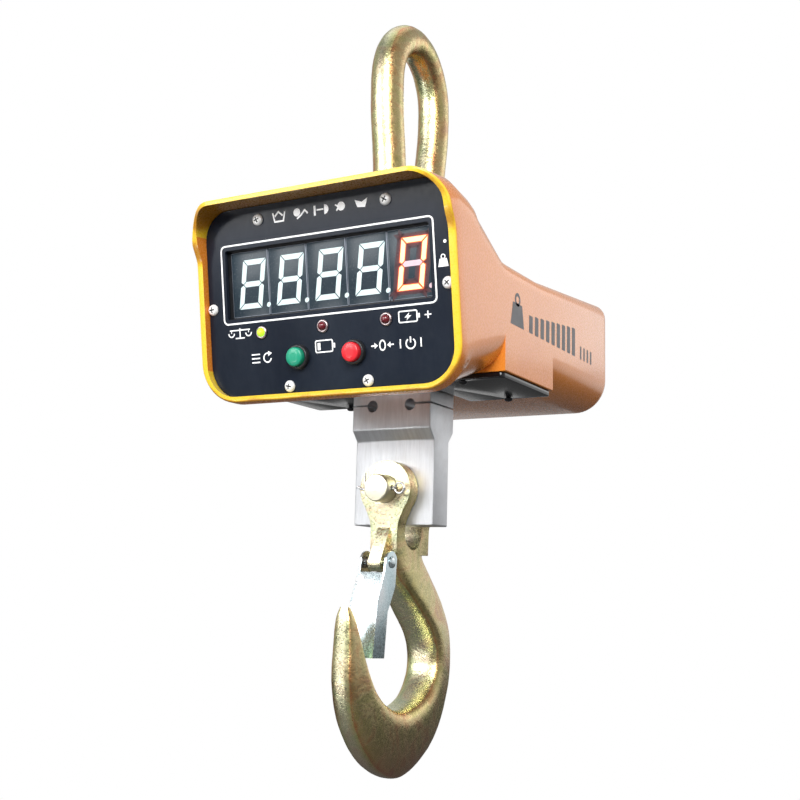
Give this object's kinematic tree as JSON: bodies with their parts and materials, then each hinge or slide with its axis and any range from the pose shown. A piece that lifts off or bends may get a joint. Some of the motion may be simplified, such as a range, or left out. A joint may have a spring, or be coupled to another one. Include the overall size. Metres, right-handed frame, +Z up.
{
  "type": "crane scale",
  "caption": "Hanging crane scale: bow shackle on top, load cell in an orange housing with a tilted digit display, and a latched lifting hook below.",
  "frame": {"origin": "bearing point on the inside of the shackle's crown, where a crane's hook carries the scale", "axes": "+Z up along the load line, +X to the right as seen from the front, the display faces -Y"},
  "size_m": [0.1784, 0.2769, 0.492],
  "materials": {
    "orange_paint": "gloss orange paint on a cast aluminium housing",
    "black_plastic": "fine moulded black plastic",
    "panel_face": "glossy blue-black panel film",
    "digit_face": "dark grey display face with pale segments",
    "green_cap": "green moulded button",
    "red_cap": "red moulded button",
    "green_lens": "clear green lamp lens",
    "red_lens": "dark red lamp lens",
    "circuit_board": "green solder mask",
    "aluminium": "milled and satin anodised",
    "yellow_zinc": "forged steel, yellow passivated zinc with a green and pink tint",
    "white_zinc": "blue-white zinc plated steel",
    "bright_steel": "bright zinc plated steel",
    "rubber": "soft black rubber",
    "battery_case": "dark grey case"
  },
  "bodies": {
    "shackle": {"shackle": "yellow_zinc", "shackle_pin": "yellow_zinc", "shackle_cotter": "white_zinc"},
    "scale": {"battery_cover_left": "black_plastic", "battery_cover_right": "black_plastic", "battery_left": "battery_case", "battery_right": "battery_case", "cell_cable": "black_plastic", "cell_seal": "rubber", "charge_lamp": "red_lens", "charge_lamp_ring": "bright_steel", "charge_socket": "black_plastic", "digit_1": "digit_face", "digit_2": "digit_face", "digit_3": "digit_face", "digit_4": "digit_face", "digit_5": "digit_face", "display_board": "circuit_board", "front_bracket": "bright_steel", "front_left_cell_bolt": "bright_steel", "front_left_cover_screw": "bright_steel", "front_left_floor_screw": "bright_steel", "front_panel": "panel_face", "front_right_cell_bolt": "bright_steel", "front_right_cover_screw": "bright_steel", "front_right_floor_screw": "bright_steel", "housing": "orange_paint", "load_cell": "aluminium", "low_battery_lamp": "red_lens", "low_battery_lamp_ring": "bright_steel", "main_board": "circuit_board", "panel_gasket": "rubber", "panel_screw_1": "bright_steel", "panel_screw_2": "bright_steel", "panel_screw_3": "bright_steel", "panel_screw_4": "bright_steel", "panel_screw_5": "bright_steel", "panel_screw_6": "bright_steel", "rear_bracket": "bright_steel", "rear_left_cell_bolt": "bright_steel", "rear_left_cover_screw": "bright_steel", "rear_left_floor_screw": "bright_steel", "rear_right_cell_bolt": "bright_steel", "rear_right_cover_screw": "bright_steel", "rear_right_floor_screw": "bright_steel", "recall_button_body": "black_plastic", "steady_lamp": "green_lens", "steady_lamp_ring": "bright_steel", "tare_button_body": "black_plastic"},
    "hook": {"hook": "yellow_zinc", "hook_pin": "yellow_zinc", "hook_cotter": "white_zinc", "latch_rivet": "white_zinc", "latch_spring": "white_zinc"},
    "latch": {"latch": "white_zinc"},
    "recall_button": {"recall_button": "green_cap"},
    "tare_button": {"tare_button": "red_cap"}
  },
  "joints": [
    {"name": "shackle_swing", "type": "hinge", "parent": "shackle", "child": "scale", "pos_m": [0, 0, -0.145], "axis": [0, 1, 0], "range_deg": [-75, 75]},
    {"name": "hook_swing", "type": "hinge", "parent": "scale", "child": "hook", "pos_m": [0, 0, -0.295], "axis": [0, 1, 0], "range_deg": [-30, 30]},
    {"name": "latch_hinge", "type": "hinge", "parent": "hook", "child": "latch", "pos_m": [0, -0.0265, -0.3405], "axis": [1, 0, 0], "range_deg": [0, 30], "stiffness_Nm_per_rad": 0.15, "springref_deg": -28.65},
    {"name": "recall_press", "type": "slide", "parent": "scale", "child": "recall_button", "axis": [0, 0.9871, 0.1604], "range_m": [0, 0.0015], "stiffness_N_per_m": 800, "springref_m": -0.001},
    {"name": "tare_press", "type": "slide", "parent": "scale", "child": "tare_button", "axis": [0, 0.9871, 0.1604], "range_m": [0, 0.0015], "stiffness_N_per_m": 800, "springref_m": -0.001}
  ]
}
